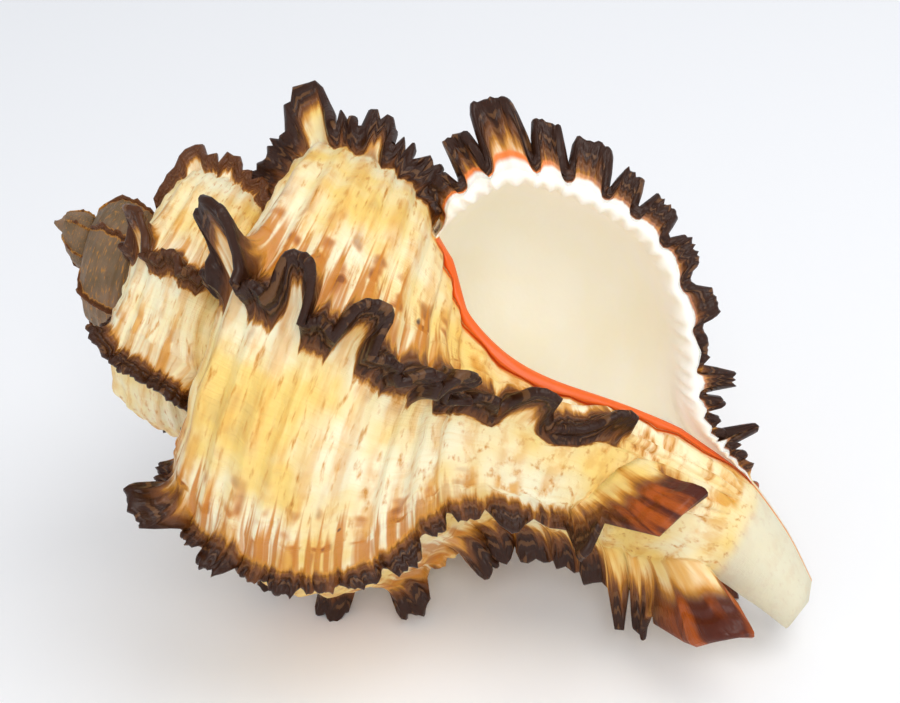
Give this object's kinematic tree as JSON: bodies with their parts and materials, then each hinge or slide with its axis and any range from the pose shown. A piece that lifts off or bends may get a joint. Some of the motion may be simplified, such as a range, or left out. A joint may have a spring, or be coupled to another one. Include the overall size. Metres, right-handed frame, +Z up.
{
  "type": "endive murex shell",
  "caption": "Empty frilled murex sea shell lying on its varices, with a stepped spire, fluted dark frills, a wide cream mouth edged in orange and a tapering canal.",
  "frame": {"origin": "middle of the footprint's box, on the surface that the shell lies on", "axes": "+Z up, +X from the spire's tip towards the canal's tip, -Y towards the side that the mouth opens to"},
  "size_m": [0.073, 0.0556, 0.0553],
  "materials": {
    "shell": "hard glossy-to-satin shell lime, cream and tan outside with brown-black frill edges, smooth porcelain white inside the mouth with an orange rim"
  },
  "bodies": {
    "root": {"shell": "shell"}
  },
  "joints": []
}
